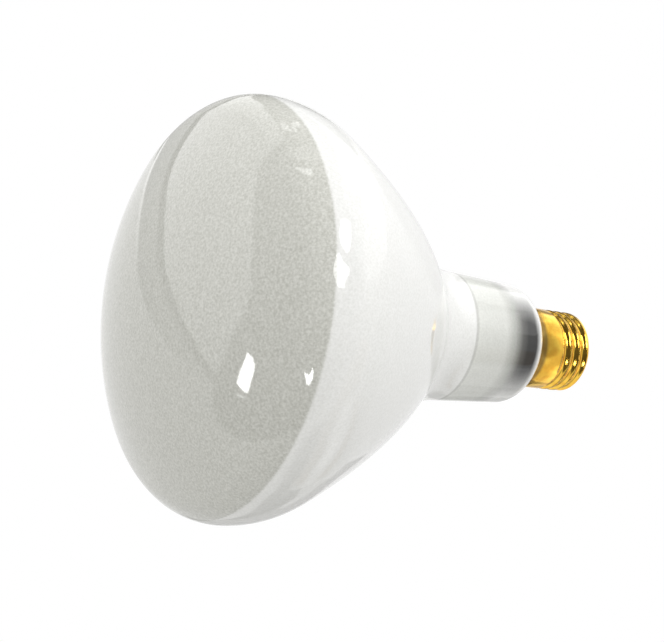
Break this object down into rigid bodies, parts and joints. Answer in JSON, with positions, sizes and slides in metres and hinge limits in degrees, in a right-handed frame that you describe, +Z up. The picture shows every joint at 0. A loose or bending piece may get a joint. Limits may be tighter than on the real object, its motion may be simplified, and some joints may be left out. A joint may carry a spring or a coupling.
{
  "type": "reflector flood lamp bulb",
  "caption": "Reflector flood lamp for a pool light: frosted domed face, white paraboloid reflector, narrow neck and a brass medium screw base.",
  "frame": {"origin": "on the lamp's axis, at the plane where the screw shell reaches its full diameter", "axes": "+X along the axis from the domed face to the centre contact, +Z up; the axis is level, as the lamp sits in a pool fitting"},
  "size_m": [0.1652, 0.127, 0.127],
  "materials": {
    "frosted_glass": "coated inside, opaque white and pale grey, glossy outside",
    "shell_brass": "bright rolled sheet",
    "black_glass": "glossy, poured",
    "contact_brass": "stamped",
    "solder": "dull tin and lead solder",
    "cement": "matt, granular",
    "lead_wire": "drawn wire"
  },
  "bodies": {
    "root": {"glass_bulb": "frosted_glass", "screw_shell": "shell_brass", "base_insulator": "black_glass", "centre_contact": "contact_brass", "centre_solder": "solder", "side_solder": "solder", "basing_cement": "cement", "centre_lead": "lead_wire", "side_lead": "lead_wire"}
  },
  "joints": []
}
